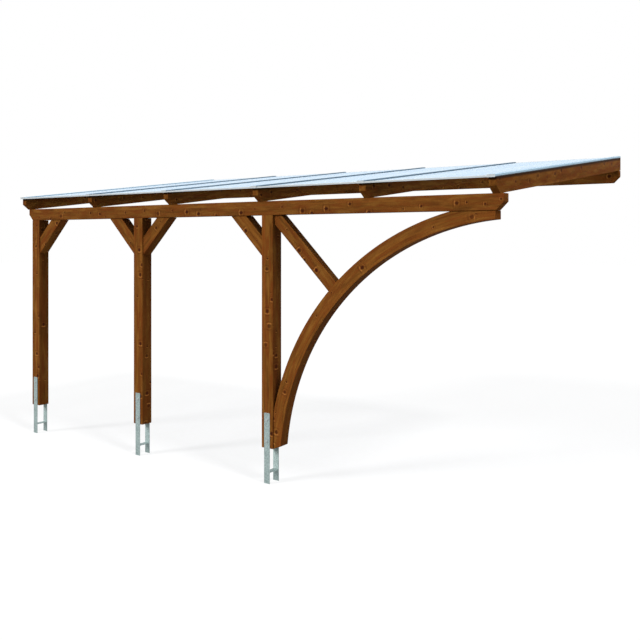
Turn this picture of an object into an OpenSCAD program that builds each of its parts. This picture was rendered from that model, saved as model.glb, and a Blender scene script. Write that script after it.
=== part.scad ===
// Lean-to timber carport: three posts in one row, a wall plate on the house, an arch brace that
// carries the free end of the front beam, and a twin-wall sheet roof on six rafters.
// Millimetres. The origin is the middle of the wall plate's back face, where it meets the house
// wall. +X runs along the eaves to the arched end, +Y points into the wall, +Z is up.

/* [Posts and front beam] */
// Side of the square posts
post_w = 120; // [100:5:160]
// Length of each post, from its foot to the underside of the front beam
post_l = 1985; // [1800:5:2400]
// Distance from one post to the next
post_pitch = 1590; // [1400:10:1700]
// Thickness of the front beam, from front to back
beam_t = 80; // [60:5:100]
// Height of the front beam
beam_h = 120; // [100:5:160]
// Length of the front beam
beam_l = 5420; // [5200:10:5600]
// How far the front beam runs past the left post
beam_past_post = 55; // [40:5:100]
// Height of the sloping nose cut on every beam end
nose_h = 60; // [40:5:80]
// Length of the sloping nose cut on every beam end
nose_l = 60; // [40:5:80]

/* [Braces] */
// Thickness of the knee braces, from front to back
brace_t = 100; // [60:5:120]
// Depth of the knee braces, across their length
brace_h = 120; // [80:5:140]
// How far the outer edge of a knee brace runs down its post and along the beam
brace_leg = 355; // [300:5:500]
// Thickness of the strut that props the arch, from front to back
strut_t = 80; // [60:5:100]
// Depth of the strut, across its length
strut_h = 105; // [80:5:120]
// How far below the beam the strut's lower edge meets the right post
strut_drop = 72; // [40:1:150]

/* [Arch brace] */
// Thickness of the arch, from front to back
arch_t = 100; // [80:5:120]
// Depth of the arch, across its length
arch_h = 120; // [100:5:140]
// Radius of the hollow side of the arch
arch_r = 2105; // [2050:5:2150]
// How far the arch's centre lies below the feet of the posts
arch_centre_drop = 177; // [140:1:190]
// Width of the arch at the feet of the posts
arch_foot_w = 74; // [60:1:90]
// How far the outer corner of the arch's foot is cut up from level
arch_foot_rise = 35; // [0:5:50]
// How far the arch's upper end stops short of the beam's nose
arch_end_inset = 10; // [0:5:30]

/* [Rafters and wall plate] */
// Width of a rafter
rafter_w = 60; // [50:5:80]
// Depth of a rafter, square to its slope
rafter_h = 120; // [100:5:160]
// Distance from one rafter to the next
rafter_pitch = 1070; // [900:10:1100]
// Level length of the rafters, from the wall to their noses
roof_depth = 3000; // [2500:50:3500]
// Slope of the roof in degrees
roof_slope = 6.9; // [5:0.1:10]
// How far the rafters run in front of the posts
rafter_past_post = 70; // [50:5:150]
// How far the first rafter stands outside the left post
rafter_past_left = 72; // [40:1:100]
// Depth of the seats cut into the rafters over the beam and the wall plate
seat_depth = 3; // [2:1:15]
// Thickness of the wall plate
plate_t = 60; // [50:5:80]
// Height of the wall plate
plate_h = 120; // [100:5:160]
// Diameter of the fixing holes through the wall plate
wall_hole_d = 14; // [10:1:18]
// Distance from one fixing hole to the next
wall_hole_pitch = 900; // [800:10:950]

/* [Roof covering] */
// Thickness of the twin-wall sheets
sheet_t = 10; // [6:1:16]
// How far the sheets run past the noses of the rafters
sheet_past_rafter = 25; // [10:5:60]
// Thickness of the sealing strip that carries the sheets on each rafter
bar_base_t = 2; // [1:1:5]
// Thickness of the glazing bars' caps
bar_cap_t = 9; // [4:1:12]
// Thickness of the glazing bars' webs between two sheets
bar_web_t = 6; // [4:1:10]
// Gap between a sheet's edge and the web beside it
sheet_gap = 4; // [2:1:8]
// Depth of the edge profile that closes the front of each sheet
edge_lip = 22; // [15:1:40]
// Wall thickness of the edge profile
edge_wall = 1.5; // [1:0.5:3]

/* [Post anchors] */
// Width of the anchor straps
strap_w = 60; // [40:5:80]
// Thickness of the anchor straps
strap_t = 5; // [4:1:8]
// Length of the anchor straps
strap_l = 600; // [400:10:800]
// How much of each strap stands above the post's foot
strap_grip = 300; // [150:10:350]
// How far the anchor's cross plate lies below the post's foot
cross_drop = 200; // [50:5:250]

/* [Hidden] */
$fn = 96;

rafter_count = 6;
wall_hole_count = 6;
timber = "saddlebrown";
rise = tan(roof_slope);                       // climb per millimetre of level run
plumb_h = rafter_h / cos(roof_slope);         // depth of a rafter measured upright

// Levels, worked out from the wall plate down to the feet of the posts
plate_top = plate_h / 2;
front_y = -roof_depth + rafter_past_post;     // front faces of the posts and the beam
beam_top = plate_top - rise * (-plate_t - front_y);
beam_bottom = beam_top - beam_h;
foot_z = beam_bottom - post_l;

// Places along the eaves
rafter_x0 = -(rafter_count - 1) * rafter_pitch / 2;   // centre of the first rafter
roof_left = rafter_x0 - rafter_w / 2;
post_x0 = roof_left + rafter_past_left;               // left face of the left post
beam_left = post_x0 - beam_past_post;
beam_right = beam_left + beam_l;

// Arch, in the upright plane of the posts
arch_face_x = post_x0 + 2 * post_pitch + post_w;      // right face of the right post
arch_end_x = beam_right - nose_l - arch_end_inset;
arch_cz = foot_z - arch_centre_drop;
arch_cx = arch_face_x + arch_foot_w + sqrt(arch_r * arch_r - arch_centre_drop * arch_centre_drop);

// Roof covering, measured square to the slope
slope_l = (roof_depth + sheet_past_rafter) / cos(roof_slope);
sheet_w = rafter_pitch - bar_web_t - 2 * sheet_gap;
bar_h = bar_base_t + sheet_t + bar_cap_t;
bar_stop_t = 3;                               // plate that closes a glazing bar's front end
edge_gap = 1;                                 // between an edge channel and the bars beside it
big = 2 * abs(roof_left) + rafter_pitch;      // wider than the whole roof, for cutting

function rafter_x(i) = rafter_x0 + (i - 1) * rafter_pitch;
function post_x(i) = post_x0 + (i - 1) * post_pitch;

// Height of the rafters' underside over level distance y
function underside(y) = plate_top - seat_depth + rise * (y + plate_t);

// ---------- helpers ----------

// Extrudes an outline drawn as [x, z] towards the wall, from y to y + thickness
module upright(y, thickness) {
    translate([0, y + thickness, 0])
        rotate([90, 0, 0])
            linear_extrude(thickness)
                children();
}

// A level timber whose two ends have a nose cut away from their lower corners
module nosed_beam(left, right, bottom, height, y, thickness) {
    upright(y, thickness)
        polygon([
            [left, bottom + height],
            [left, bottom + nose_h],
            [left + nose_l, bottom],
            [right - nose_l, bottom],
            [right, bottom + nose_h],
            [right, bottom + height]
        ]);
}

// Moves children onto the rafters' tops: x along the eaves, y up the slope, z square to it
module on_roof() {
    translate([0, 0, underside(0) + plumb_h])
        rotate([roof_slope, 0, 0])
            children();
}

// ---------- posts and anchors ----------

module post(i) {
    color(timber)
        translate([post_x(i), front_y, foot_z])
            cube([post_w, post_w, post_l]);
}

// Two flat straps on the front and back of a post, joined by a cross plate below its foot
module anchor(i) {
    mid_x = post_x(i) + post_w / 2;
    bottom = foot_z + strap_grip - strap_l;
    color("lightgray")
        union() {
            for (y = [front_y - strap_t, front_y + post_w])
                translate([mid_x - strap_w / 2, y, bottom])
                    cube([strap_w, strap_t, strap_l]);
            translate([mid_x - strap_w / 2, front_y - strap_t, foot_z - cross_drop - strap_t])
                cube([strap_w, post_w + 2 * strap_t, strap_t]);
        }
}

// ---------- beams ----------

module front_beam() {
    color(timber)
        nosed_beam(beam_left, beam_right, beam_bottom, beam_h, front_y, beam_t);
}

// The wall plate is drilled along its middle for the bolts that hold it to the wall
module wall_plate() {
    color(timber)
        difference() {
            nosed_beam(roof_left, -roof_left, -plate_h / 2, plate_h, -plate_t, plate_t);
            for (i = [1 : wall_hole_count])
                translate([(i - (wall_hole_count + 1) / 2) * wall_hole_pitch, 1, 0])
                    rotate([90, 0, 0])
                        cylinder(h = plate_t + 2, d = wall_hole_d);
        }
}

// ---------- braces ----------

// Knee brace between a post's face at x and the beam; side is 1 to its right or -1 to its left
module knee_brace(x, side) {
    inner_leg = brace_leg - brace_h * sqrt(2);
    color(timber)
        upright(front_y + (post_w - brace_t) / 2, brace_t)
            polygon([
                [x, beam_bottom - brace_leg],
                [x + side * brace_leg, beam_bottom],
                [x + side * inner_leg, beam_bottom],
                [x, beam_bottom - inner_leg]
            ]);
}

module arch_ring_section() {
    difference() {
        translate([arch_cx, arch_cz])
            circle(arch_r + arch_h, $fn = 360);
        translate([arch_cx, arch_cz])
            circle(arch_r, $fn = 360);
    }
}

// Quarter arch from the foot of the right post to the free end of the beam
module arch_brace() {
    foot_right = arch_face_x + arch_foot_w + arch_h;
    foot_slope = arch_foot_rise / arch_foot_w;
    color(timber)
        upright(front_y + (post_w - arch_t) / 2, arch_t)
            intersection() {
                arch_ring_section();
                polygon([
                    [arch_face_x, foot_z],
                    [foot_right, foot_z + foot_slope * (foot_right - arch_face_x)],
                    [arch_end_x, foot_z + foot_slope * (foot_right - arch_face_x)],
                    [arch_end_x, beam_bottom],
                    [arch_face_x, beam_bottom]
                ]);
            }
}

// Strut from the head of the right post, square onto the back of the arch
module arch_strut() {
    across = strut_h * sqrt(2);
    run = arch_h + arch_r / 2;
    color(timber)
        upright(front_y + (post_w - strut_t) / 2, strut_t)
            difference() {
                polygon([
                    [arch_face_x, beam_bottom - strut_drop],
                    [arch_face_x, beam_bottom],
                    [arch_face_x + across - strut_drop, beam_bottom],
                    [arch_face_x + across - strut_drop + run, beam_bottom - run],
                    [arch_face_x + run, beam_bottom - strut_drop - run]
                ]);
                translate([arch_cx, arch_cz])
                    circle(arch_r + arch_h, $fn = 360);
            }
}

// ---------- rafters ----------

// Side view of a rafter, as [y, z]: plumb cut at the wall, nose cut at the front
module rafter_outline() {
    polygon([
        [0, underside(0)],
        [0, underside(0) + plumb_h],
        [-roof_depth, underside(-roof_depth) + plumb_h],
        [-roof_depth, underside(-roof_depth) + nose_h],
        [front_y, underside(front_y)]
    ]);
}

// A rafter seated over the front beam and the wall plate
module rafter(i) {
    color(timber)
        difference() {
            translate([rafter_x(i) - rafter_w / 2, 0, 0])
                rotate([90, 0, 90])
                    linear_extrude(rafter_w)
                        rafter_outline();
            translate([-big / 2, front_y, beam_bottom])
                cube([big, beam_t, beam_h]);
            translate([-big / 2, -plate_t, -plate_h / 2])
                cube([big, plate_t, plate_h]);
        }
}

// ---------- roof covering ----------

// One twin-wall sheet, resting on the sealing strips of two neighbouring bars
module roof_sheet(i) {
    color("lightblue", 0.7)
        on_roof()
            translate([rafter_x(i) + (rafter_pitch - sheet_w) / 2, -slope_l + edge_wall, bar_base_t])
                cube([sheet_w, slope_l - edge_wall - sheet_gap, sheet_t]);
}

// Section of a glazing bar as [x, z]; outer is -1 or 1 for a closed side, 0 for a middle bar
module bar_section(outer) {
    half = rafter_w / 2;
    translate([-half, 0])
        square([rafter_w, bar_base_t]);
    translate([-bar_web_t / 2, 0])
        square([bar_web_t, bar_h]);
    translate([-half, bar_h - bar_cap_t])
        square([rafter_w, bar_cap_t]);
    if (outer != 0)
        translate([outer > 0 ? half - bar_web_t : -half, 0])
            square([bar_web_t, bar_h]);
}

// A glazing bar on its rafter, with a stop plate that closes its front end
module glazing_bar(i) {
    outer = i == 1 ? -1 : i == rafter_count ? 1 : 0;
    color("silver")
        on_roof()
            translate([rafter_x(i), 0, 0]) {
                rotate([90, 0, 0])
                    linear_extrude(slope_l)
                        bar_section(outer);
                translate([-rafter_w / 2, -slope_l - bar_stop_t, 0])
                    cube([rafter_w, bar_stop_t, bar_h]);
            }
}

// Channel that closes the front edge of a sheet between two bars
module sheet_edge(i) {
    left = rafter_x(i) + rafter_w / 2 + edge_gap;
    width = rafter_pitch - rafter_w - 2 * edge_gap;
    color("whitesmoke")
        on_roof()
            difference() {
                translate([left, -slope_l, bar_base_t - edge_wall])
                    cube([width, edge_lip, sheet_t + 2 * edge_wall]);
                translate([left - edge_gap, -slope_l + edge_wall, bar_base_t])
                    cube([width + 2 * edge_gap, edge_lip, sheet_t]);
            }
}

// ---------- the pieces ----------

post(1);  // left_post
post(2);  // middle_post
post(3);  // right_post
front_beam();
wall_plate();
knee_brace(post_x(1) + post_w, 1);  // left_post_brace
knee_brace(post_x(2), -1);  // middle_post_left_brace
knee_brace(post_x(2) + post_w, 1);  // middle_post_right_brace
knee_brace(post_x(3), -1);  // right_post_brace
arch_brace();
arch_strut();
rafter(1);  // rafter_1
rafter(2);  // rafter_2
rafter(3);  // rafter_3
rafter(4);  // rafter_4
rafter(5);  // rafter_5
rafter(6);  // rafter_6
roof_sheet(1);  // roof_sheet_1
roof_sheet(2);  // roof_sheet_2
roof_sheet(3);  // roof_sheet_3
roof_sheet(4);  // roof_sheet_4
roof_sheet(5);  // roof_sheet_5
glazing_bar(1);  // glazing_bar_1
glazing_bar(2);  // glazing_bar_2
glazing_bar(3);  // glazing_bar_3
glazing_bar(4);  // glazing_bar_4
glazing_bar(5);  // glazing_bar_5
glazing_bar(6);  // glazing_bar_6
sheet_edge(1);  // sheet_edge_1
sheet_edge(2);  // sheet_edge_2
sheet_edge(3);  // sheet_edge_3
sheet_edge(4);  // sheet_edge_4
sheet_edge(5);  // sheet_edge_5
anchor(1);  // left_anchor
anchor(2);  // middle_anchor
anchor(3);  // right_anchor
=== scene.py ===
# %% [markdown]
# # A lean-to carport in stained timber
# Three posts, a front beam and a quarter arch carry six rafters, which run back to a plate on
# the house wall, with twin-wall sheets on top between aluminium glazing bars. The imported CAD
# model gives every size and place; this script dresses it.

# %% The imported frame
import math
import random

import bmesh
import bpy
from mathutils import Matrix, Vector


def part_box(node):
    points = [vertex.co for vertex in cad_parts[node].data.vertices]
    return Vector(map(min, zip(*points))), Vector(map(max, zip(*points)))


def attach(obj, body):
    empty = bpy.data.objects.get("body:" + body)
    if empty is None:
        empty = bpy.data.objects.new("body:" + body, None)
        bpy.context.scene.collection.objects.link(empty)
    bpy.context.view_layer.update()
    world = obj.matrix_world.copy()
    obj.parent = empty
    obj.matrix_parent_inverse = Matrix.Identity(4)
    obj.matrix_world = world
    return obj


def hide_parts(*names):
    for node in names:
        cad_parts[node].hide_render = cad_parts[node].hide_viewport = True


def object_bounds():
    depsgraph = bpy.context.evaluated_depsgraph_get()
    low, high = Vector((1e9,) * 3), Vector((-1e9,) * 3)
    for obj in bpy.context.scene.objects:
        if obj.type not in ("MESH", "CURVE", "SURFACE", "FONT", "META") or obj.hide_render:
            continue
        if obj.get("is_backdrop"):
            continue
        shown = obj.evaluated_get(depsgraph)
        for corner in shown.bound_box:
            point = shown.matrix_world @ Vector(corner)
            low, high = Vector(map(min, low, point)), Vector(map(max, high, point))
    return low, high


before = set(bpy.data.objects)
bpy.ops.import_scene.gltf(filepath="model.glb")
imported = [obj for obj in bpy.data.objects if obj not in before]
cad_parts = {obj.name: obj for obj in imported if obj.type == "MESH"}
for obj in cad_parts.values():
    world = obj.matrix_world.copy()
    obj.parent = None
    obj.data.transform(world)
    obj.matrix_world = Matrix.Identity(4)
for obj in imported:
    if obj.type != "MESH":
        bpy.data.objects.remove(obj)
cad_low, cad_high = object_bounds()


def add_object(name, data):
    """A new object in the scene."""
    made = bpy.data.objects.new(name, data)
    bpy.context.scene.collection.objects.link(made)
    return made


print("CAD box in metres:", [round(v, 3) for v in (*cad_low, *cad_high)])

# %% [markdown]
# ## Measures taken from the frame
# The roof slopes, so its parts are easier to build level and then tilt. The top of one rafter
# gives that tilt. The matrix turns level roof coordinates (x along the eaves, y up the slope,
# z square to it) into the real ones, and its inverse measures a CAD node in them.

# %% Roof axes
RAFTERS = [f"rafter_{i}" for i in range(1, 7)]
SHEETS = range(1, 6)
BARS = range(1, 7)
UP, EAVES, INWARD = Vector((0, 0, 1)), Vector((1, 0, 0)), Vector((0, 1, 0))
SAME_PLACE = 1e-4


def corners(node):
    """The points of a CAD node's mesh."""
    return [v.co.copy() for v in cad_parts[node].data.vertices]


def end_top(node, far):
    """The highest point of a rafter at its wall end, or at its front end."""
    points = corners(node)
    edge = max(p.y for p in points) if far else min(p.y for p in points)
    return max((p for p in points if abs(p.y - edge) < SAME_PLACE), key=lambda p: p.z)


wall_end, front_end = end_top("rafter_1", True), end_top("rafter_1", False)
slope = math.atan2(wall_end.z - front_end.z, wall_end.y - front_end.y)
ROOF = Matrix.Translation((0, 0, wall_end.z)) @ Matrix.Rotation(slope, 4, "X")
UP_SLOPE = (ROOF.to_3x3() @ INWARD).normalized()
OFF_ROOF = ROOF.to_3x3() @ UP


def roof_box(node):
    """Lowest and highest corner of a CAD node in the level roof coordinates."""
    level = [ROOF.inverted() @ p for p in corners(node)]
    low = Vector(min(p[i] for p in level) for i in range(3))
    high = Vector(max(p[i] for p in level) for i in range(3))
    return low, high


print(f"the roof climbs {math.degrees(slope):.2f} degrees towards the wall")

# %% [markdown]
# ## Camera
# The eye is on the right and in front, below the eaves, so the roof shows only as a thin band.
# The camera looks level and its lens is shifted, so that the posts stay upright.

# %% Camera
EYE = Vector((5.094, -8.563, -0.619))
TURN = math.radians(36.65)
LENS_MM = 47.55
SHIFT = (0.039, -0.125)

camera_data = bpy.data.cameras.new("camera")
camera_data.lens = LENS_MM
camera_data.shift_x, camera_data.shift_y = SHIFT
camera = add_object("camera", camera_data)
camera.location = EYE
camera.rotation_euler = (math.radians(90), 0, TURN)
bpy.context.scene.camera = camera
print("camera at", tuple(round(v, 2) for v in EYE))

# %% [markdown]
# ## Small helpers for node trees
# Writing node trees in code is wordy, so helpers keep the cells readable. `put` adds a node
# and fills or links its inputs, and most others give the result of one node. An effect that
# materials share is a node group: `group` starts one and `use` places it. Colours are written
# as 0 to 255, the way a paint chart gives them, and turned into linear values.

# %% Node helpers
def colour(red, green, blue):
    """A chart colour as linear RGBA."""
    linear = [
        c / 12.92 if c <= 0.04045 else ((c + 0.055) / 1.055) ** 2.4
        for c in (red / 255, green / 255, blue / 255)
    ]
    return (*linear, 1)


def put(tree, kind, inputs=None, **settings):
    """Adds a shader node, applies its settings, then fills or links its inputs."""
    made = tree.nodes.new("ShaderNode" + kind)
    for name, value in settings.items():
        setattr(made, name, value)
    for name, value in (inputs or {}).items():
        if isinstance(value, bpy.types.NodeSocket):
            tree.links.new(value, made.inputs[name])
        else:
            made.inputs[name].default_value = value
    return made


def maths(tree, operation, *values):
    """The result of one Math node."""
    return put(tree, "Math", dict(enumerate(values)), operation=operation).outputs[0]


def plus(tree, a, b):
    """The sum of two values."""
    return maths(tree, "ADD", a, b)


def minus(tree, a, b):
    """The first value less the second."""
    return maths(tree, "SUBTRACT", a, b)


def times(tree, a, b):
    """The product of two values."""
    return maths(tree, "MULTIPLY", a, b)


def distance(tree, a, b):
    """How far the flat point (a, b) is from the middle."""
    return maths(tree, "SQRT", plus(tree, maths(tree, "POWER", a, 2.0), maths(tree, "POWER", b, 2.0)))


def vectors(tree, operation, *values):
    """The vector that one Vector Math node gives."""
    return put(tree, "VectorMath", dict(enumerate(values)), operation=operation).outputs[0]


def fade(tree, value, start, end, low=0.0, high=1.0):
    """A smooth step from low at start to high at end."""
    inputs = {"Value": value, "From Min": start, "From Max": end, "To Min": low, "To Max": high}
    return put(tree, "MapRange", inputs, interpolation_type="SMOOTHSTEP").outputs[0]


def blend(tree, factor, first, second, how="MIX"):
    """Two colours mixed by factor."""
    inputs = {0: factor, 6: first, 7: second}
    return put(tree, "Mix", inputs, data_type="RGBA", blend_type=how).outputs[2]


def split(tree, vector):
    """The three parts of a vector."""
    return put(tree, "SeparateXYZ", {0: vector}).outputs


def join(tree, x, y, z):
    """Three values as one vector."""
    return put(tree, "CombineXYZ", {0: x, 1: y, 2: z}).outputs[0]


def noise(tree, vector, scale, detail=3.0, roughness=0.55):
    """Noise from 0 to 1 at a vector."""
    inputs = {"Vector": vector, "Scale": scale, "Detail": detail, "Roughness": roughness}
    return put(tree, "TexNoise", inputs).outputs[0]


def drawn_out(tree, vector, scales, detail=3.0):
    """Noise with a scale of its own for each axis."""
    return noise(tree, vectors(tree, "MULTIPLY", vector, scales), 1.0, detail)


def group(name, inputs, numbers, vector_outputs=()):
    """A new node group: its tree, inside inputs and inside outputs. Input None is a vector."""
    tree = bpy.data.node_groups.new(name, "ShaderNodeTree")
    for label, value in inputs.items():
        kind = "NodeSocketVector" if value is None else "NodeSocketFloat"
        socket = tree.interface.new_socket(label, in_out="INPUT", socket_type=kind)
        if value is not None:
            socket.default_value = value
    for kind, labels in (("NodeSocketFloat", numbers), ("NodeSocketVector", vector_outputs)):
        for label in labels:
            tree.interface.new_socket(label, in_out="OUTPUT", socket_type=kind)
    return tree, tree.nodes.new("NodeGroupInput").outputs, tree.nodes.new("NodeGroupOutput").inputs


def use(tree, built, inputs):
    """Places a node group in a material and gives its outputs."""
    return put(tree, "Group", inputs, node_tree=built).outputs


print("half grey is", round(colour(128, 128, 128)[0], 3), "in linear light")

# %% [markdown]
# ## Coordinates that belong to each board
# Grain runs along a board however it is laid, and bends with the arch, which Blender's own
# coordinates can't do. So every piece stores `grain`, metres along, across and through it,
# `half`, its half sizes, `board`, a number of its own, and on each face `facing`, which tells
# a wide side, a narrow side and an end apart. Patterns made from these never slide.

# %% Reading the board coordinates in a material
def read(tree, name, output="Vector"):
    """A stored attribute as a vector, or with output "Fac" as a number."""
    return put(tree, "Attribute", attribute_name=name).outputs[output]


print("materials can read: grain, half, board, facing")

# %% [markdown]
# ## Node group: knots on one side
# A knot is a branch cut through: a dark, ragged oval with a darker rim. The grain swells
# before and after it, and the grain lines part round it. The swell's light and shade are
# painted: a pale crescent of painted highlight, stronger at one end, and a dark dip of painted
# shade beyond. Knots could be painted one by one, but cells of a Voronoi texture scatter them,
# at most one in each length of board, and the cell's random colour settles whether the knot
# is there, how wide it is, and which crescent is stronger.

# %% Knots on one side of a board
side_knots, got, give = group(
    "side_knots",
    {"Along": 0.0, "Beside": 0.0, "Board": 0.0, "Spacing": 0.13, "Width": 0.12, "Radius": 0.009},
    ["Core", "Rim", "Painted_highlight", "Painted_shade", "Push"],
)
tree = side_knots
shifted = plus(tree, maths(tree, "DIVIDE", got["Along"], got["Spacing"]), got["Board"])
level = plus(tree, maths(tree, "DIVIDE", got["Beside"], got["Width"]), 0.5)
cells = put(tree, "TexVoronoi", {"Vector": join(tree, shifted, level, 0.0), "Scale": 1.0},
            voronoi_dimensions="2D")
knot_centre = split(tree, cells.outputs["Position"])
chance = split(tree, cells.outputs["Color"])
off_along = times(tree, minus(tree, shifted, knot_centre[0]), got["Spacing"])
off_beside = times(tree, minus(tree, level, knot_centre[1]), got["Width"])
there = maths(tree, "GREATER_THAN", chance[1], 0.35)
size = times(tree, got["Radius"], fade(tree, chance[0], 0.0, 1.0, 0.5, 1.5))
ragged = noise(tree, join(tree, got["Along"], got["Beside"], got["Board"]), 90.0, 3.0, 0.6)
fray = times(tree, minus(tree, ragged, 0.5), 0.9)
# The oval, a little longer than wide, and its rim
oval = distance(tree, times(tree, off_along, 0.75), off_beside)
reach = plus(tree, maths(tree, "DIVIDE", oval, size), fray)
core = times(tree, fade(tree, reach, 1.1, 0.7), fade(tree, chance[2], 0.0, 1.0, 0.6, 1.0))
rim = times(tree, fade(tree, reach, 0.75, 1.0), fade(tree, reach, 1.35, 1.05))
# The swelling grain as painted light: a pale crescent of painted highlight at each end of the knot,
# then a dip of painted shade beyond it
ahead = maths(tree, "ABSOLUTE", off_along)
aside = times(tree, maths(tree, "ABSOLUTE", off_beside), 0.62)
swell = plus(tree, maths(tree, "DIVIDE", distance(tree, ahead, aside), size), fray)
total = plus(tree, plus(tree, ahead, aside), 0.0001)
in_line = fade(tree, maths(tree, "DIVIDE", ahead, total), 0.4, 0.75)
end_sign = minus(tree, times(tree, 2.0, maths(tree, "GREATER_THAN", chance[2], 0.3)), 1.0)
leaning = times(tree, end_sign, maths(tree, "DIVIDE", off_along, size))
stronger_end = fade(tree, leaning, 1.0, -1.0, 0.15, 1.0)
crescent = times(tree, fade(tree, swell, 0.9, 1.4), fade(tree, swell, 2.3, 1.7))
painted_highlight = times(tree, times(tree, crescent, in_line), stronger_end)
beyond = times(tree, fade(tree, swell, 1.9, 2.4), fade(tree, swell, 3.4, 2.6))
painted_shade = times(tree, beyond, in_line)
# Grain lines part round the knot: the push dies away with distance
falloff = maths(tree, "DIVIDE", 4.0, plus(tree, maths(tree, "POWER", reach, 2.0), 4.0))
push = times(tree, times(tree, off_beside, falloff), -0.85)
for name, value in (("Core", core), ("Rim", rim), ("Painted_highlight", painted_highlight), ("Painted_shade", painted_shade), ("Push", push)):
    tree.links.new(times(tree, there, value), give[name])
print("side_knots has", len(tree.nodes), "nodes")

# %% [markdown]
# ## Node group: knots on the whole board
# The group above works in two flat coordinates, so it is used twice, for the wide sides and
# for the narrow ones, and `facing` picks. Knots as solid cones inside the board would join up
# round its corners, but they are harder to steer and hardly differ on a whole building.

# %% Knots on the whole board
NARROW_OFFSET = 31.7
SQUARE_ON = 0.6

knots, got, give = group(
    "knots", {"Grain": None, "Facing": None, "Half": None, "Board": 0.0},
    ["Core", "Rim", "Painted_highlight", "Painted_shade"], ["Bend"],
)
tree = knots
grain, facing, half = (split(tree, got[name]) for name in ("Grain", "Facing", "Half"))
sides = []
for axis, board in ((1, got["Board"]), (2, plus(tree, got["Board"], NARROW_OFFSET))):
    found = use(tree, side_knots, {"Along": grain[0], "Beside": grain[axis], "Board": board,
                                   "Width": times(tree, half[axis], 2.0)})
    sides.append((found, maths(tree, "GREATER_THAN", facing[axis - 1], SQUARE_ON)))
for name in ("Core", "Rim", "Painted_highlight", "Painted_shade"):
    both = plus(tree, *(times(tree, found[name], on_side) for found, on_side in sides))
    tree.links.new(maths(tree, "MINIMUM", both, 1.0), give[name])
pushes = [times(tree, found["Push"], on_side) for found, on_side in sides]
tree.links.new(join(tree, 0.0, *pushes), give["Bend"])
print("knots are placed on", len(sides), "kinds of side")

# %% [markdown]
# ## Node group: annual rings, fibres and laminations
# A tree's rings are tubes round its pith, and a board is a slice of them. So the rings are the
# distance from a pith line beside the board, cut into steps of a few millimetres. That gives
# straight lines on one side, arches on another and curves on the sawn end, with nothing
# painted by hand. Each lamination gets its own pith and tone, and a thin glue line.

# %% Wood figure
figure, got, give = group(
    "wood_figure",
    {"Grain": None, "Straight": None, "Half": None, "Board": 0.0, "Lamination": 0.04, "Ring": 0.0042},
    ["Latewood", "Fibre", "Streak", "Cloud", "Blush", "Tone", "Glue"],
)
tree = figure
grain, half = split(tree, got["Grain"]), split(tree, got["Half"])
across = split(tree, got["Straight"])[1]
layer = maths(tree, "DIVIDE", plus(tree, across, half[1]), got["Lamination"])
own_number = plus(tree, maths(tree, "FLOOR", layer), times(tree, got["Board"], 7.3))
own = put(tree, "TexWhiteNoise", {"W": own_number}, noise_dimensions="1D")
luck = split(tree, own.outputs["Color"])
tree.links.new(luck[2], give["Tone"])
# Distance to a glue line, which lies between two laminations
within = maths(tree, "FRACT", layer)
nearest = maths(tree, "MINIMUM", within, minus(tree, 1.0, within))
tree.links.new(fade(tree, times(tree, nearest, got["Lamination"]), 0.0009, 0.0002), give["Glue"])
# Each lamination starts somewhere else along its tree, with its pith in another place
along = plus(tree, grain[0], plus(tree, times(tree, luck[0], 9.0), got["Board"]))
spot = join(tree, along, grain[1], grain[2])
pith_across = fade(tree, luck[1], 0.0, 1.0, -0.05, 0.05)
pith_through = fade(tree, luck[0], 0.0, 1.0, 0.05, 0.12)
from_pith = distance(tree, plus(tree, grain[1], pith_across), plus(tree, grain[2], pith_through))
# The trunk tapers and sways, so the rings run out at the board's face
taper = times(tree, along, 0.006)
sway = times(tree, minus(tree, drawn_out(tree, spot, (1.3, 6.0, 6.0)), 0.5), 0.03)
rings = plus(tree, plus(tree, from_pith, taper), sway)
season = maths(tree, "FRACT", maths(tree, "DIVIDE", rings, got["Ring"]))
late = times(tree, fade(tree, season, 0.35, 0.9), fade(tree, season, 1.0, 0.94))
tree.links.new(late, give["Latewood"])
for name, scales, detail in (("Fibre", (9.0, 700.0, 700.0), 2.0),
                             ("Streak", (2.4, 44.0, 44.0), 4.0),
                             ("Cloud", (4.2, 20.0, 20.0), 3.0)):
    tree.links.new(drawn_out(tree, spot, scales, detail), give[name])
# The blush is moved away from the clouds, so that the two patterns never coincide
moved = vectors(tree, "ADD", vectors(tree, "MULTIPLY", spot, (5.0, 26.0, 26.0)), (11.0, 5.0, 3.0))
tree.links.new(noise(tree, moved, 1.0), give["Blush"])
print("wood_figure has", len(tree.nodes), "nodes")

# %% [markdown]
# ## Node group: edge wear
# Handling rubs edges first. In board coordinates the distance to the nearest long edge is
# plain arithmetic: how far the point is from both sides at once. Noise breaks the band up.
# Timber, steel and aluminium all use this group.

# %% Edge wear
edge_wear, got, give = group(
    "edge_wear", {"Grain": None, "Half": None, "Reach": 0.006, "Breakup": 40.0}, ["Wear", "Breakup"],
)
tree = edge_wear
grain, half = split(tree, got["Grain"]), split(tree, got["Half"])
gaps = [minus(tree, half[axis], maths(tree, "ABSOLUTE", grain[axis])) for axis in (1, 2)]
to_edge = maths(tree, "MAXIMUM", *gaps)
breakup = noise(tree, got["Grain"], got["Breakup"], 4.0, 0.65)
tree.links.new(breakup, give["Breakup"])
band = fade(tree, maths(tree, "DIVIDE", to_edge, got["Reach"]), 1.0, 0.1)
tree.links.new(times(tree, band, fade(tree, breakup, 0.35, 0.6)), give["Wear"])
print("edge_wear has", len(tree.nodes), "nodes")

# %% [markdown]
# ## Helpers for materials
# Each material is one Principled shader, with its colour built up in thin layers, the way
# stain, dirt and wear build up. `lay` adds one layer where a mask says, and `bump` turns a
# height into relief.

# %% Material helpers
def new_material(name):
    """A new material, its tree and its Principled shader."""
    material = bpy.data.materials.new(name)
    material.use_nodes = True
    tree = material.node_tree
    return material, tree, tree.nodes["Principled BSDF"]


def lay(tree, base, mask, most, paint):
    """Lays a chart colour over the base where the mask is, at most this strongly."""
    return blend(tree, times(tree, mask, most), base, colour(*paint))


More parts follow.
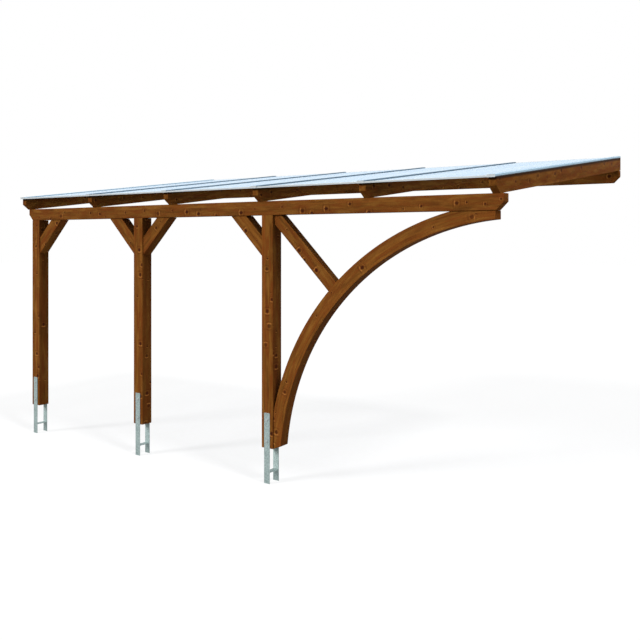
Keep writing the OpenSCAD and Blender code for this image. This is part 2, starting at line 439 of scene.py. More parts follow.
def shade_of(base, step):
    """A chart colour made lighter by a step, or darker if the step is below nothing."""
    return colour(*(min(255, c + step) for c in base))


def coat(tree, shader, shade, rough):
    """Gives the shader its colour and its roughness."""
    tree.links.new(shade, shader.inputs["Base Color"])
    tree.links.new(rough, shader.inputs["Roughness"])


def worn(tree, reach, breakup=40.0):
    """Edge wear on the piece that has this material."""
    return use(tree, edge_wear, {"Grain": read(tree, "grain"), "Half": read(tree, "half"),
                                 "Reach": reach, "Breakup": breakup})


def bump(tree, shader, height, reach, strength):
    """Feeds a height, worth this many metres, to the shader's normal."""
    relief = put(tree, "Bump", {"Height": height, "Distance": reach, "Strength": strength})
    tree.links.new(relief.outputs[0], shader.inputs["Normal"])


print("material helpers ready")

# %% [markdown]
# ## Stained timber
# Pressure-treated spruce with a nut-brown satin stain. A flat picture of wood would repeat
# and couldn't bend with the arch, so colour comes from the figure in layers: streaks, late
# wood, clouds, fibres, each lamination's tone, glue lines and knots with their painted light
# and shade, and last the arrises, where the stain is thinner, and the sawn ends, which drink
# more of it. Late wood stands a touch proud. Rafters also get painted shade along the top, a
# dark band that stands in for the shadow under the sheets.

# %% Stained timber
def timber_material(name, lamination, top_shade=0.0):
    """Brown stain on timber glued up from boards this thick, with painted shade along its top."""
    material, tree, shader = new_material(name)
    grain, facing, half = read(tree, "grain"), read(tree, "facing"), read(tree, "half")
    board = read(tree, "board", "Fac")
    knot = use(tree, knots, {"Grain": grain, "Facing": facing, "Half": half, "Board": board})
    bent = vectors(tree, "ADD", grain, knot["Bend"])
    wood = use(tree, figure, {"Grain": bent, "Straight": grain, "Half": half, "Board": board,
                              "Lamination": lamination})
    wear = worn(tree, 0.005)
    sawn = fade(tree, split(tree, facing)[2], 0.3, 0.8)
    base = blend(tree, fade(tree, wood["Streak"], 0.36, 0.64), colour(134, 83, 30), colour(100, 60, 21))
    base = lay(tree, base, wood["Latewood"], 0.35, (82, 44, 14))
    for pattern, start, end, most, paint in (("Cloud", 0.42, 0.64, 0.7, (148, 98, 40)),
                                             ("Blush", 0.42, 0.6, 0.65, (118, 57, 19)),
                                             ("Fibre", 0.4, 0.75, 0.3, (64, 34, 8))):
        base = blend(tree, fade(tree, wood[pattern], start, end, 0.0, most), base, colour(*paint))
    tone = fade(tree, wood["Tone"], 0.0, 1.0, 0.88, 1.08)
    base = blend(tree, 1.0, base, join(tree, tone, tone, tone), "MULTIPLY")
    # Knot crescents are painted highlight, and the dip beyond them painted shade
    for mask, most, paint in ((wood["Glue"], 0.4, (56, 28, 8)), (knot["Painted_highlight"], 0.55, (192, 124, 60)),
                              (knot["Painted_shade"], 0.4, (74, 34, 12)), (knot["Rim"], 0.6, (60, 25, 9)),
                              (knot["Core"], 0.95, (58, 20, 8)), (wear["Wear"], 0.35, (138, 72, 24)),
                              (sawn, 0.1, (62, 34, 10))):
        base = lay(tree, base, mask, most, paint)
    if top_shade:
        # Painted shade: a dark band along the top edge stands in for the shadow under the sheets and
        # strips
        below_top = minus(tree, split(tree, half)[1], split(tree, grain)[1])
        base = lay(tree, base, fade(tree, below_top, 0.026, 0.008), top_shade, (26, 13, 6))
    rough = plus(tree, 0.62, times(tree, wood["Fibre"], 0.22))
    coat(tree, shader, base, plus(tree, rough, times(tree, sawn, 0.18)))
    height = plus(tree, times(tree, wood["Latewood"], 0.35), times(tree, wood["Fibre"], 0.55))
    height = plus(tree, height, times(tree, knot["Core"], 0.6))
    height = minus(tree, height, times(tree, wood["Glue"], 0.5))
    bump(tree, shader, height, 0.0006, 0.7)
    shader.inputs["Specular IOR Level"].default_value = 0.03
    return material


SOLID_BOARD = 1.0
POST_LAMINATION = 0.04
ARCH_LAMINATION = 0.024
RAFTER_TOP_SHADE = 0.85
solid_timber = timber_material("stained_timber", SOLID_BOARD)
glued_timber = timber_material("stained_glued_timber", POST_LAMINATION)
arched_timber = timber_material("stained_arched_timber", ARCH_LAMINATION)
rafter_timber = timber_material("stained_rafter_timber", SOLID_BOARD, RAFTER_TOP_SHADE)
print("timber materials:", solid_timber.name, glued_timber.name, arched_timber.name,
      rafter_timber.name)

# %% [markdown]
# ## Galvanised steel
# Molten zinc freezes into crystals, the spangle. Each is a patch with a grey of its own, as a
# Voronoi texture draws them; plain noise would give soft clouds. Bolts have a finer spangle.

# %% Galvanised steel
def galvanised(name, base, spangle_mm, rough):
    """Zinc with its crystal pattern, dulled where it is handled."""
    material, tree, shader = new_material(name)
    crystals = put(tree, "TexVoronoi", {"Vector": read(tree, "grain"), "Scale": 1000 / spangle_mm})
    tint = split(tree, crystals.outputs["Color"])
    wear = worn(tree, 0.003)
    shade = blend(tree, tint[0], shade_of(base, -16), shade_of(base, 14))
    shade = blend(tree, fade(tree, wear["Breakup"], 0.5, 0.75, 0.0, 0.4), shade, shade_of(base, -28))
    shade = lay(tree, shade, wear["Wear"], 0.5, (206, 212, 212))
    coat(tree, shader, shade, plus(tree, rough, times(tree, tint[1], 0.16)))
    bump(tree, shader, plus(tree, tint[2], wear["Breakup"]), 0.0001, 0.5)
    shader.inputs["Metallic"].default_value = 0.65
    return material


galvanised_steel = galvanised("galvanised_steel", (146, 162, 160), 11, 0.42)
zinc_fixings = galvanised("zinc_fixings", (168, 176, 176), 2, 0.3)
print("zinc materials:", galvanised_steel.name, zinc_fixings.name)

# %% [markdown]
# ## Aluminium
# Bars and channels are pressed through a die, which leaves fine lines along them. Noise drawn
# out along the piece varies colour, roughness and relief together; stretched reflections
# alone would hardly show on a coated bar. The outer two bars are the palest.

# %% Aluminium
def aluminium(name, base, metallic, rough):
    """An extruded profile: fine lines along it and rubbed edges."""
    material, tree, shader = new_material(name)
    lines = drawn_out(tree, read(tree, "grain"), (1.5, 900.0, 900.0), 2.0)
    wear = worn(tree, 0.002, 25.0)
    dull = shade_of(base, -22)
    shade = blend(tree, fade(tree, lines, 0.35, 0.7), dull, colour(*base))
    shade = blend(tree, fade(tree, wear["Breakup"], 0.5, 0.75, 0.0, 0.35), shade, dull)
    shade = lay(tree, shade, wear["Wear"], 0.5, (220, 226, 230))
    coat(tree, shader, shade, fade(tree, lines, 0.2, 0.8, rough, rough + 0.15))
    bump(tree, shader, lines, 0.00005, 0.5)
    shader.inputs["Metallic"].default_value = metallic
    shader.inputs["Specular IOR Level"].default_value = 0.25
    return material


bar_aluminium = aluminium("bar_aluminium", (114, 138, 156), 0.15, 0.55)
edge_aluminium = aluminium("edge_aluminium", (206, 212, 214), 0.25, 0.4)
verge_aluminium = aluminium("verge_aluminium", (186, 216, 236), 0.05, 0.45)
print("aluminium materials:", bar_aluminium.name, edge_aluminium.name, verge_aluminium.name)

# %% [markdown]
# ## Clear sheet
# Clear polycarbonate, cool in tint. Glass that truly bends light would be slow, and skins
# under a millimetre thick hardly bend it, so the sheet is simply see-through: less so at a
# flat angle, where dust lies, and beside the caps, where a band of painted shade darkens it.

# %% Twin-wall sheet material
def sheet_material():
    """Clear cellular sheet that shows more of itself at a flat angle."""
    material, tree, shader = new_material("twin_wall_sheet")
    grain = read(tree, "grain")
    haze = drawn_out(tree, grain, (0.8, 2.4, 2.4), 2.0)
    dust = noise(tree, grain, 55.0, 4.0, 0.7)
    shade = blend(tree, fade(tree, haze, 0.3, 0.7), colour(152, 197, 232), colour(174, 211, 237))
    shade = blend(tree, fade(tree, dust, 0.55, 0.8, 0.0, 0.25), shade, colour(206, 214, 214))
    from_side = minus(tree, split(tree, read(tree, "half"))[1],
                      maths(tree, "ABSOLUTE", split(tree, grain)[1]))
    # Painted shade beside the caps: a darker, less clear band along each bar, broken up by the dust
    # noise
    cap_shade = times(tree, fade(tree, from_side, 0.14, 0.04), fade(tree, dust, 0.3, 0.6, 0.6, 1.0))
    shade = lay(tree, shade, cap_shade, 0.9, (92, 132, 156))
    coat(tree, shader, shade, fade(tree, dust, 0.3, 0.8, 0.12, 0.34))
    flat_angle = put(tree, "LayerWeight", {"Blend": 0.35}).outputs["Facing"]
    dusty = fade(tree, dust, 0.4, 0.8, 0.2, 0.3)
    solid = maths(tree, "MAXIMUM", dusty, fade(tree, flat_angle, 0.45, 0.95, 0.0, 0.9))
    solid = maths(tree, "MAXIMUM", solid, times(tree, cap_shade, 0.5))
    tree.links.new(solid, shader.inputs["Alpha"])
    shader.inputs["IOR"].default_value = 1.58
    shader.inputs["Specular IOR Level"].default_value = 0.25
    return material


twin_wall_sheet = sheet_material()
print("sheet material:", twin_wall_sheet.name)

# %% [markdown]
# ## Rubber and tape
# The seals are black rubber and the closing tape is a grey foil. Little of either shows, so
# one plain finish serves both, and the noise inside the edge-wear group gives it a bloom.

# %% Rubber and tape
def plain_finish(name, base, rough, metallic=0.0):
    """One colour with a slight bloom that changes over it."""
    material, tree, shader = new_material(name)
    wear = worn(tree, 0.001, 60.0)
    shade = blend(tree, fade(tree, wear["Breakup"], 0.35, 0.7), colour(*base), shade_of(base, 18))
    coat(tree, shader, shade, fade(tree, wear["Breakup"], 0.3, 0.7, rough, rough + 0.2))
    bump(tree, shader, wear["Breakup"], 0.0001, 0.5)
    shader.inputs["Metallic"].default_value = metallic
    return material


seal_rubber = plain_finish("seal_rubber", (34, 35, 37), 0.6)
closing_tape = plain_finish("closing_tape", (176, 182, 186), 0.35, 0.5)
print("plain materials:", seal_rubber.name, closing_tape.name)

# %% [markdown]
# ## Making a piece
# Each piece is a closed mesh. `soften` rounds its edges, as a planer or a die does: shading
# could fake that, but the outline would stay sharp. Slivers are left out, since a bevel there
# would fold over itself. `straight_frame` works out the board coordinates, and `settle` makes
# the object, stores them, and joins it to the CAD body.

# %% Piece helpers
random.seed(7)
SIDE_ANGLE = math.radians(30)
SMOOTH_ANGLE = math.radians(20)
BOARD_NUMBERS = (0, 50)


def soften(bm, width, shortest=0.0, thinnest=0.0, segments=2):
    """Rounds the edges between faces that meet at an angle, apart from tiny ones."""
    chosen = [
        e for e in bm.edges
        if len(e.link_faces) == 2 and e.calc_length() > shortest
        and e.calc_face_angle(0) > SIDE_ANGLE
        and all(f.calc_area() > thinnest * max(s.calc_length() for s in f.edges)
                for f in e.link_faces)
    ]
    bmesh.ops.bevel(bm, geom=chosen, offset=width, segments=segments, profile=0.5,
                    affect="EDGES", clamp_overlap=True)


def straight_frame(points, along, through):
    """A straight piece's coordinates as a function of a point, its half sizes and its axes."""
    along, through = Vector(along).normalized(), Vector(through).normalized()
    axes = (along, through.cross(along), through)
    spans = [[p.dot(axis) for p in points] for axis in axes]
    middles = [(min(s) + max(s)) / 2 for s in spans]
    halves = Vector([(max(s) - min(s)) / 2 for s in spans])

    def place(point):
        return Vector([point.dot(axis) - middle for axis, middle in zip(axes, middles)])

    return place, halves, lambda point: axes


def store(mesh, name, kind, domain, values):
    """Writes one attribute, flat values in the mesh's own order."""
    layer = mesh.attributes.new(name, kind, domain)
    layer.data.foreach_set("value" if kind == "FLOAT" else "vector", values)


def settle(name, bm, material, board_frame, stands_for=()):
    """Makes the object from a bmesh, stores its board coordinates and joins it to the body."""
    place, halves, axes_at = board_frame
    bmesh.ops.recalc_face_normals(bm, faces=bm.faces)
    mesh = bpy.data.meshes.new(name)
    bm.to_mesh(mesh)
    bm.free()
    board = random.uniform(*BOARD_NUMBERS)
    normals = [(face.normal.copy(), axes_at(face.center)) for face in mesh.polygons]
    grain = [x for vertex in mesh.vertices for x in place(vertex.co)]
    facing = [abs(normal.dot(axes[i])) for normal, axes in normals for i in (2, 1, 0)]
    store(mesh, "grain", "FLOAT_VECTOR", "POINT", grain)
    store(mesh, "half", "FLOAT_VECTOR", "POINT", list(halves) * len(mesh.vertices))
    store(mesh, "board", "FLOAT", "POINT", [board] * len(mesh.vertices))
    store(mesh, "facing", "FLOAT_VECTOR", "FACE", facing)
    mesh.polygons.foreach_set("use_smooth", [True] * len(mesh.polygons))
    mesh.set_sharp_from_angle(angle=SMOOTH_ANGLE)
    mesh.materials.append(material)
    piece = add_object(name, mesh)
    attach(piece, "root")
    if stands_for:
        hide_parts(*stands_for)
    return piece


print("piece helpers ready")

# %% [markdown]
# ## Straight timbers
# Posts, beam, plate, rafters, braces and strut are copies of the CAD shapes, since a rebuilt
# one could drift away from them. Arrises are rounded and the grain runs along each piece.

# %% Straight timbers
ARRIS = 0.003
WELD = 1e-5
FLAT = math.radians(0.2)
RISING, FALLING = EAVES + UP, EAVES - UP


def copy_of(node):
    """A CAD node's own shape as a clean bmesh, with its flat faces whole again."""
    bm = bmesh.new()
    bm.from_mesh(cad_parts[node].data)
    bmesh.ops.remove_doubles(bm, verts=bm.verts, dist=WELD)
    bmesh.ops.dissolve_limit(bm, angle_limit=FLAT, verts=bm.verts, edges=bm.edges)
    return bm


TIMBERS = [
    (("left_post", "middle_post", "right_post"), UP, INWARD, glued_timber),
    (("front_beam",), EAVES, INWARD, glued_timber),
    (("wall_plate",), EAVES, INWARD, solid_timber),
    (RAFTERS, UP_SLOPE, EAVES, rafter_timber),
    (("left_post_brace", "middle_post_right_brace"), RISING, INWARD, solid_timber),
    (("middle_post_left_brace", "right_post_brace", "arch_strut"), FALLING, INWARD, solid_timber),
]

for names, along, through, material in TIMBERS:
    for name in names:
        bm = copy_of(name)
        soften(bm, ARRIS, shortest=0.02, thinnest=0.01)
        settle(f"{name}_timber", bm, material, straight_frame(corners(name), along, through),
               [name])
print(sum(len(row[0]) for row in TIMBERS), "straight timbers dressed")

# %% [markdown]
# ## The arch's two curves
# The arch is glued up from thin boards bent round a former, so its grain follows the curve
# and needs points close together along it. It is built as a band of stations, each with a
# point on the hollow side and one on the outer side. The outer side is cut upright at the
# post and level at the beam: a line, an arc and a line.

# %% Arch band
ARCH_HOLLOW_R = 2.105
ARCH_DEPTH = 0.120
ARCH_DROP = 0.177
ARCH_FOOT_W = 0.074
ARCH_FOOT_RISE = 0.035
STEPS = (10, 52, 14)
HALVINGS = 40

arch_low, arch_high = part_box("arch_brace")
centre = Vector((arch_low.x + ARCH_FOOT_W + math.sqrt(ARCH_HOLLOW_R**2 - ARCH_DROP**2), 0,
                 arch_low.z - ARCH_DROP))
outer_r = ARCH_HOLLOW_R + ARCH_DEPTH


def on_arc(radius, angle):
    """A point of the arch's plane, with the angle measured up from the foot."""
    return Vector((centre.x - radius * math.cos(angle), 0, centre.z + radius * math.sin(angle)))


def foot_angle():
    """Where the hollow side meets the sloping cut of the foot, found by halving a range."""
    low, high = 0.0, 0.5
    for _ in range(HALVINGS):
        middle = (low + high) / 2
        point = on_arc(ARCH_HOLLOW_R, middle)
        cut = arch_low.z + ARCH_FOOT_RISE / ARCH_FOOT_W * (point.x - arch_low.x)
        low, high = (middle, high) if point.z < cut else (low, middle)
    return low


def spread(start, end, count):
    """Evenly spaced steps from start up to, but not at, end."""
    return [start + (end - start) * i / count for i in range(count)]


leaves_post = math.acos((centre.x - arch_low.x) / outer_r)
meets_beam = math.asin((arch_high.z - centre.z) / outer_r)
top_angle = math.acos((centre.x - arch_high.x) / ARCH_HOLLOW_R)
hollow_angles = (spread(foot_angle(), leaves_post, STEPS[0])
                 + spread(leaves_post, meets_beam, STEPS[1])
                 + spread(meets_beam, top_angle, STEPS[2]) + [top_angle])
hollow_side = [on_arc(ARCH_HOLLOW_R, a) for a in hollow_angles]
outer_side = [Vector((arch_low.x, 0, z))
              for z in spread(arch_low.z, on_arc(outer_r, leaves_post).z, STEPS[0])]
outer_side += [on_arc(outer_r, a) for a in spread(leaves_post, meets_beam, STEPS[1])]
outer_side += [Vector((x, 0, arch_high.z))
               for x in spread(on_arc(outer_r, meets_beam).x, arch_high.x, STEPS[2])]
outer_side.append(Vector((arch_high.x, 0, arch_high.z)))
print(f"arch: {len(hollow_side)} stations, {math.degrees(top_angle):.0f} degrees of curve")

# %% [markdown]
# ## The arch as one piece
# Arch, bars, screws and bolts are all rings of points, each joined to the next and closed at
# both ends. One helper makes that skin; solids stacked on each other would hide faces inside.
# The arch's board coordinates follow the curve, so rings and glue lines bend with it.

# %% Arch piece
def skin(bm, rings):
    """Joins rings of points into one closed body."""
    for ring, following in zip(rings, rings[1:]):
        for i in range(len(ring)):
            j = (i + 1) % len(ring)
            bm.faces.new((ring[i], ring[j], following[j], following[i]))
    bm.faces.new(list(reversed(rings[0])))
    bm.faces.new(rings[-1])


def arch_frame():
    """Board coordinates along the arc, out from its centre, and through."""
    middle_r = ARCH_HOLLOW_R + ARCH_DEPTH / 2
    middle_y = (arch_low.y + arch_high.y) / 2
    halves = Vector((middle_r * top_angle, ARCH_DEPTH, arch_high.y - arch_low.y)) / 2

    def place(point):
        out = Vector((point.x - centre.x, 0, point.z - centre.z))
        return Vector((math.atan2(out.z, -out.x) * middle_r, out.length - middle_r,
                       point.y - middle_y))

    def axes_at(point):
        out = Vector((point.x - centre.x, 0, point.z - centre.z)).normalized()
        return INWARD.cross(out), out, INWARD

    return place, halves, axes_at


bm = bmesh.new()
skin(bm, [[bm.verts.new((p.x, y, p.z)) for p, y in (
    (inner, arch_low.y), (outer, arch_low.y), (outer, arch_high.y), (inner, arch_high.y))]
    for inner, outer in zip(hollow_side, outer_side)])
bmesh.ops.recalc_face_normals(bm, faces=bm.faces)
soften(bm, ARRIS)
arch = settle("arch_brace_timber", bm, arched_timber, arch_frame(), ["arch_brace"])
print("arch made with", len(arch.data.polygons), "faces")

# %% [markdown]
# ## Twin-wall sheets
# A cellular sheet is two skins held apart by webs, extruded in one piece, and it is modelled
# as that: a closed shell pierced from end to end by square cells. Lines on a box would look
# alike from far off, but real webs catch the light when the roof is seen from below.

# %% Cellular sheet
CELL_PITCH = 0.0107
SKIN = 0.0007
WEB = 0.0006


def cellular_sheet(low, high):
    """A closed shell from low to high with open cells along y."""
    bm = bmesh.new()
    count = round((high.x - low.x - WEB) / CELL_PITCH)
    pitch = (high.x - low.x - WEB) / count
    xs = []
    for i in range(count + 1):
        xs += [low.x + i * pitch, low.x + i * pitch + WEB]
    zs = [low.z, low.z + SKIN, high.z - SKIN, high.z]
    grid = {
        (i, k, end): bm.verts.new((x, y, z))
        for i, x in enumerate(xs) for k, z in enumerate(zs)
        for end, y in enumerate((low.y, high.y))
    }

    def face(*keys):
        bm.faces.new([grid[key] for key in keys])

    last = len(xs) - 1
    for i in range(last):
        solid_column = i % 2 == 0
        for k in range(3):
            if solid_column or k != 1:
                for end in (0, 1):
                    face((i, k, end), (i + 1, k, end), (i + 1, k + 1, end), (i, k + 1, end))
        for k in (0, 3) if solid_column else (0, 1, 2, 3):
            face((i, k, 0), (i + 1, k, 0), (i + 1, k, 1), (i, k, 1))
    for i in range(last + 1):
        outside = i in (0, last)
        for k in (0, 1, 2) if outside else (1,):
            face((i, k, 0), (i, k + 1, 0), (i, k + 1, 1), (i, k, 1))
    return bm


def lay_on_roof(name, bm, material, node, stands_for=()):
    """Tilts a piece built level on to the roof and settles it."""
    bm.transform(ROOF)
    board_frame = straight_frame(corners(node), UP_SLOPE, OFF_ROOF)
    return settle(name, bm, material, board_frame, stands_for)


for i in SHEETS:
    node = f"roof_sheet_{i}"
    piece = lay_on_roof(f"twin_wall_{i}", cellular_sheet(*roof_box(node)), twin_wall_sheet, node,
                        [node])
print(len(SHEETS), "sheets of", len(piece.data.polygons), "faces each")

# %% [markdown]
# ## Glazing bars: cap and web
# A bar is a rubber strip on the rafter, an aluminium web between two sheets, and a cap
# screwed down over both. Boxes would do from afar, but a real cap is extruded, so the right
# half of its section is drawn, mirrored, and pulled along the slope.

# %% Cap and web
STRIP = 0.002
CAP = 0.009
CAP_WALL = 0.0016
CAP_CORNER = 0.0006
CROWN = 0.0026
CROWN_OUT, CROWN_FALL = 0.55, 0.35
GROOVE_HALF = 0.007
GROOVE_DEEP = 0.0012
GROOVE_SIDE = 0.0008
LIP = 0.0012
STOP = 0.003
WEB_HALF = 0.003
METAL_EDGE = 0.0004


def extrude_section(bm, outline, start, end):
    """Pulls a closed outline of (x, z) points from y = start to y = end."""
    skin(bm, [[bm.verts.new((x, y, z)) for x, z in outline] for y in (start, end)])


def slab(bm, low, high):
    """A closed box from low to high."""
    outline = [(low[0], low[2]), (high[0], low[2]), (high[0], high[2]), (low[0], high[2])]
    extrude_section(bm, outline, low[1], high[1])


def cap_outline(middle, half, bottom, top):
    """The cap's section: crowned shoulders, a screw groove and turned-down sides."""
    shoulder, inside, groove = top - CROWN, half - CAP_WALL, top - GROOVE_DEEP
    right = [
        (GROOVE_HALF - GROOVE_SIDE, groove), (GROOVE_HALF, top),
        (half * CROWN_OUT, top - CROWN * CROWN_FALL), (half - CAP_CORNER, shoulder),
        (half, shoulder - CAP_CORNER), (half, bottom), (inside, bottom),
        (inside, shoulder - CAP_WALL), (GROOVE_HALF, groove - CAP_WALL),
    ]
    return [(middle + x, z) for x, z in right] + [(middle - x, z) for x, z in reversed(right)]


def across_bar(low, high):
    """The middle of a bar along the eaves, and half its width."""
    return (low.x + high.x) / 2, (high.x - low.x) / 2


def cap_and_web(low, high):
    """The aluminium of a bar: its cap, and the web below it."""
    bm = bmesh.new()
    middle, half = across_bar(low, high)
    front = low.y + STOP
    extrude_section(bm, cap_outline(middle, half, high.z - CAP + LIP, high.z), front, high.y)
    slab(bm, (middle - WEB_HALF, front, STRIP),
         (middle + WEB_HALF, high.y, high.z - GROOVE_DEEP - CAP_WALL))
    soften(bm, METAL_EDGE, shortest=0.001, thinnest=0.001, segments=1)
    return bm


print(f"cap {CAP * 1000:.0f} mm high with walls of {CAP_WALL * 1000:.1f} mm")

# %% [markdown]
# ## Glazing bars: stop, leg and seals
# A plate stops each bar's front end, and the outer two close the side of the roof with a leg
# on a seal. These are plain boxes, as strips of rubber and flat bar are. A hair's gap between
# them keeps each body closed.

# %% Stop, leg and seals
GAP = 0.0002
STOP_EDGE = 0.0008
LEG = 0.0022
LEG_EDGE = 0.0006
VERGE_SEAL = 0.006
LIP_OUT, LIP_IN = 0.002, 0.008


def end_stop(low, high):
    """The plate over the front end of a bar."""
    bm = bmesh.new()
    slab(bm, low, (high.x, low.y + STOP - GAP, high.z))
    soften(bm, STOP_EDGE)
    return bm


def leg_start(low, high, side):
    """Where the leg under an outer bar begins along the eaves; side is -1 left, 1 right."""
    return low.x if side < 0 else high.x - LEG


def verge_leg(low, high, side):
    """The leg that closes the side of the roof under an outer bar."""
    bm = bmesh.new()
    start = leg_start(low, high, side)
    slab(bm, (start, low.y + STOP, low.z + VERGE_SEAL), (start + LEG, high.y, high.z - CAP + LIP - GAP))
    soften(bm, LEG_EDGE)
    return bm


def seals(low, high, side):
    """The rubber of a bar: under its leg, on the rafter, and under the cap's two sides."""
    bm = bmesh.new()
    middle, half = across_bar(low, high)
    front, sheet_top = low.y + STOP, high.z - CAP
    if side:
        start = leg_start(low, high, side)
        slab(bm, (start, front, low.z), (start + LEG, high.y, low.z + VERGE_SEAL))
    strip_low = low.x + (LEG + GAP if side < 0 else 0)
    strip_high = high.x - (LEG + GAP if side > 0 else 0)
    slab(bm, (strip_low, front, low.z), (strip_high, high.y, STRIP))
    for edge in (-1, 1):
        near, far = sorted((middle + edge * (half - LIP_IN), middle + edge * (half - LIP_OUT)))
        slab(bm, (near, front, sheet_top), (far, high.y, sheet_top + LIP))
    return bm


print(f"a strip of {STRIP * 1000:.0f} mm, and a leg on a seal of {VERGE_SEAL * 1000:.0f} mm")

# %% [markdown]
# ## Glazing bars: screws
# Round-headed screws hold the cap down. Each head is a profile turned round its axis, with
# the drive sunk in it, so that it is one closed body.

# %% Cap screws
SCREW_R, SCREW_H = 0.0042, 0.0011
SCREW_HEAD = [(SCREW_R, 0), (SCREW_R, SCREW_H * 0.6), (SCREW_R * 0.82, SCREW_H),
              (SCREW_R * 0.45, SCREW_H), (SCREW_R * 0.4, SCREW_H * 0.4)]
SCREW_SIDES = 18
SCREW_SPACING = 0.3
SCREW_INSET = 0.08


def turned_part(bm, at, direction, profile, sides, start=0.0):
    """A part turned to a profile of (radius, height) pairs, standing on a face."""
    place = Matrix.Translation(at) @ direction.to_track_quat("Z", "X").to_matrix().to_4x4()
    angles = [2 * math.pi * (i + start) / sides for i in range(sides)]
    skin(bm, [[bm.verts.new(place @ Vector((r * math.cos(a), r * math.sin(a), z))) for a in angles]
              for r, z in profile])


def cap_screws(low, high):
    """Screw heads evenly along the cap's groove."""
    bm = bmesh.new()
    middle, _ = across_bar(low, high)
    first, last = low.y + STOP + SCREW_INSET, high.y - SCREW_INSET
    count = round((last - first) / SCREW_SPACING)
    for y in (*spread(first, last, count), last):
        turned_part(bm, Vector((middle, y, high.z - GROOVE_DEEP)), UP, SCREW_HEAD, SCREW_SIDES)
    return bm


print(f"cap screws {SCREW_R * 2000:.1f} mm wide, about {SCREW_SPACING * 1000:.0f} mm apart")

# %% [markdown]
# ## Glazing bars: all six
# Each bar takes its box from its CAD node, and each material becomes a piece of its own.

# %% Six bars
for i in BARS:
    node = f"glazing_bar_{i}"
    box = roof_box(node)
    side = {BARS[0]: -1, BARS[-1]: 1}.get(i, 0)
    lay_on_roof(f"{node}_profile", cap_and_web(*box), verge_aluminium if side else bar_aluminium,
                node, [node])
    lay_on_roof(f"{node}_stop", end_stop(*box), edge_aluminium, node)
    if side:
        lay_on_roof(f"{node}_verge", verge_leg(*box, side), verge_aluminium, node)
    lay_on_roof(f"{node}_seals", seals(*box, side), seal_rubber, node)
    lay_on_roof(f"{node}_screws", cap_screws(*box), zinc_fixings, node)
print(len(BARS), "glazing bars with seals and screws")

# %% [markdown]
# ## Edge channels and closing tape
# A channel, copied from the CAD node, closes each sheet's front edge, so that rain drips
# clear and insects stay out. At the wall, tape is folded over the sheet's end: a thin section
# drawn once and pulled along the eaves.

# %% Channels and tape
TAPE = 0.0003
TAPE_WIDTH = 0.035
TAPE_INSET = 0.03

for i in SHEETS:
    node = f"sheet_edge_{i}"
    bm = copy_of(node)
    soften(bm, METAL_EDGE)
    settle(f"sheet_edge_{i}_channel", bm, edge_aluminium,
           straight_frame(corners(node), EAVES, OFF_ROOF), [node])
    low, high = roof_box(f"roof_sheet_{i}")
    bm = bmesh.new()
    top = high.z - low.z + TAPE
    outline = [(0, 0), (TAPE_WIDTH, 0), (TAPE_WIDTH, TAPE), (TAPE, TAPE),
               (TAPE, top), (TAPE_WIDTH, top), (TAPE_WIDTH, top + TAPE), (0, top + TAPE)]
    extrude_section(bm, outline, low.x + TAPE_INSET, high.x - TAPE_INSET)
    # The section is (back from the end, up); this turns it to wrap the upper end
    wrap = Matrix(((0, 1, 0, 0), (-1, 0, 0, high.y + TAPE), (0, 0, 1, low.z - TAPE), (0, 0, 0, 1)))
    bm.transform(ROOF @ wrap)
    settle(f"closing_tape_{i}", bm, closing_tape,
           straight_frame([v.co for v in bm.verts], EAVES, OFF_ROOF))
print(len(SHEETS), "edge channels and tapes")

# %% [markdown]
# ## Post anchors and their bolts
# Two galvanised straps, copied from the CAD node, hold each post. Ordinary 10 mm bolts go
# right through, turned as the screws are: a six-sided head and washer in front, and a nut,
# washer and thread end behind.

# %% Anchors
STRAP_EDGE = 0.0008
WASHER_R, WASHER_T = 0.015, 0.0025
HEAD_R, HEAD_T = 0.0098, 0.0064
THREAD_R, THREAD_OUT = 0.005, 0.006
WASHER_SIDES, HEAD_SIDES, THREAD_SIDES = 24, 6, 16
CHAMFER_OF_T, CHAMFER_OF_R = 0.25, 0.12
BOLTS_UP = (0.06, 0.24)


def disc(bm, at, direction, radius, thickness, sides):
    """A chamfered disc or nut of that many sides, standing on a face."""
    chamfer = min(thickness * CHAMFER_OF_T, radius * CHAMFER_OF_R)
    profile = [(radius, 0), (radius, thickness - chamfer), (radius - chamfer, thickness)]
    turned_part(bm, at, direction, profile, sides, 0.5)


def bolt(bm, front, back):
    """A bolt right through, with a head in front and a nut behind."""
    for at, out in ((front, -INWARD), (back, INWARD)):
        disc(bm, at, out, WASHER_R, WASHER_T, WASHER_SIDES)
        disc(bm, at + out * WASHER_T, out, HEAD_R, HEAD_T, HEAD_SIDES)
    disc(bm, back + INWARD * (WASHER_T + HEAD_T), INWARD, THREAD_R, THREAD_OUT, THREAD_SIDES)


for side in ("left", "middle", "right"):
    node = f"{side}_anchor"
    bm = copy_of(node)
    soften(bm, STRAP_EDGE)
    settle(f"{node}_straps", bm, galvanised_steel,
           straight_frame(corners(node), UP, INWARD), [node])
    low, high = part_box(node)
    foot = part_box(f"{side}_post")[0].z
    middle = (low.x + high.x) / 2
    bm = bmesh.new()
    for up in BOLTS_UP:
        bolt(bm, Vector((middle, low.y, foot + up)), Vector((middle, high.y, foot + up)))
    settle(f"{node}_bolts", bm, zinc_fixings,
           straight_frame([v.co for v in bm.verts], UP, INWARD))
print("three anchors with", len(BOLTS_UP), "bolts each")

# %% [markdown]
# ## Floor
# Rays that go straight to the camera, or by way of a reflection, see white, so no grey
# horizon shows. Plain light would take no shadow, so part of the floor is ordinary paint.

# %% Floor
FLOOR_HALF = 60
FLOOR_GREY = (0.3, 0.3, 0.3, 1)
FLOOR_GLOW = 0.78
WHITE = (1, 1, 1, 1)


def emptied(owner):
    """The node tree of a material or a world, with nothing in it."""
    owner.use_nodes = True
    owner.node_tree.nodes.clear()
    return owner.node_tree


def seen_ray(tree):
    """1 for rays that reach the eye directly, in a reflection or through glass."""
    path = put(tree, "LightPath").outputs
    seen = maths(tree, "MAXIMUM", path["Is Camera Ray"], path["Is Glossy Ray"])
    return maths(tree, "MAXIMUM", seen, path["Is Transmission Ray"])


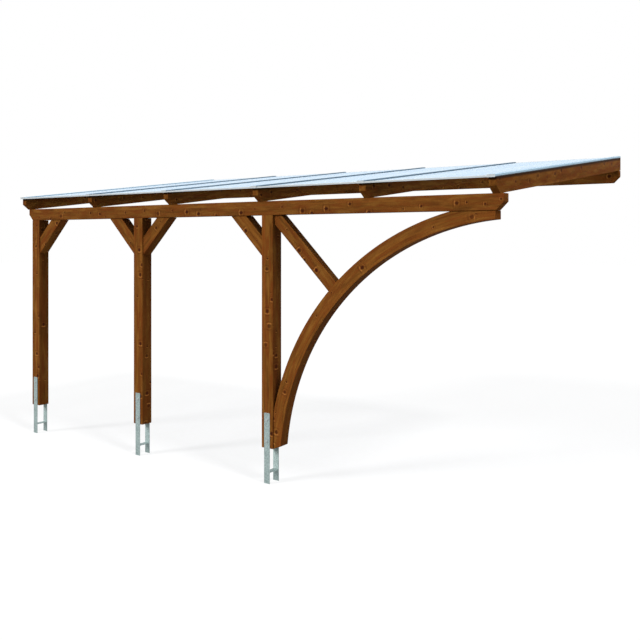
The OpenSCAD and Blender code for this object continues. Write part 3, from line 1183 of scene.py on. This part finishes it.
bm = bmesh.new()
bmesh.ops.create_grid(bm, x_segments=1, y_segments=1, size=FLOOR_HALF)
mesh = bpy.data.meshes.new("floor")
bm.to_mesh(mesh)
bm.free()
floor = add_object("floor", mesh)
floor.location = (0, 0, cad_low.z)
floor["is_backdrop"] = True

material = bpy.data.materials.new("pale_floor")
tree = emptied(material)
seen = seen_ray(tree)
paint = put(tree, "BsdfDiffuse", {"Color": blend(tree, seen, FLOOR_GREY, WHITE)})
glow = put(tree, "Emission", {"Color": WHITE, "Strength": 1.0})
both = put(tree, "MixShader", {0: times(tree, seen, FLOOR_GLOW), 1: paint.outputs[0],
                               2: glow.outputs[0]})
put(tree, "OutputMaterial", {0: both.outputs[0]})
mesh.materials.append(material)
print("floor at", round(cad_low.z, 3), "and", 2 * FLOOR_HALF, "metres wide")

# %% [markdown]
# ## Light
# A broad lamp in front and to the left, a weaker one high on the right, and an even dome.
# They are suns, because a whole building should be lit alike from end to end.

# %% Lights
DOME_COLOUR = (0.95, 0.97, 1, 1)
DOME_STRENGTH = 0.42


def lamp(name, azimuth, elevation, strength, softness):
    """A distant lamp that shines from that direction. Azimuth 0 is in front, 90 on the right."""
    data = bpy.data.lights.new(name, "SUN")
    data.energy = strength
    data.angle = math.radians(softness)
    light = add_object(name, data)
    a, e = math.radians(azimuth), math.radians(elevation)
    source = Vector((math.sin(a) * math.cos(e), -math.cos(a) * math.cos(e), math.sin(e)))
    light.rotation_mode = "QUATERNION"
    light.rotation_quaternion = source.to_track_quat("Z", "Y")


lamp("front_lamp", azimuth=-28, elevation=30, strength=2.3, softness=14)
lamp("side_lamp", azimuth=75, elevation=50, strength=1.62, softness=10)

world = bpy.data.worlds.new("backdrop")
bpy.context.scene.world = world
tree = emptied(world)
dome = put(tree, "Background", {"Color": DOME_COLOUR, "Strength": DOME_STRENGTH})
white = put(tree, "Background", {"Color": WHITE, "Strength": 1.0})
both = put(tree, "MixShader", {0: seen_ray(tree), 1: dome.outputs[0], 2: white.outputs[0]})
put(tree, "OutputWorld", {0: both.outputs[0]})

bpy.context.scene.view_settings.view_transform = "Standard"
print("two lamps and a dome of strength", DOME_STRENGTH)

# %% [markdown]
# ## Size of what shows
# Dressing must not change the object's size, so the box of what shows is printed, as the box
# of the imported CAD model was at the start.

# %% Size
low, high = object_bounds()
print("visual box in metres:", [round(v, 3) for v in (*low, *high)])
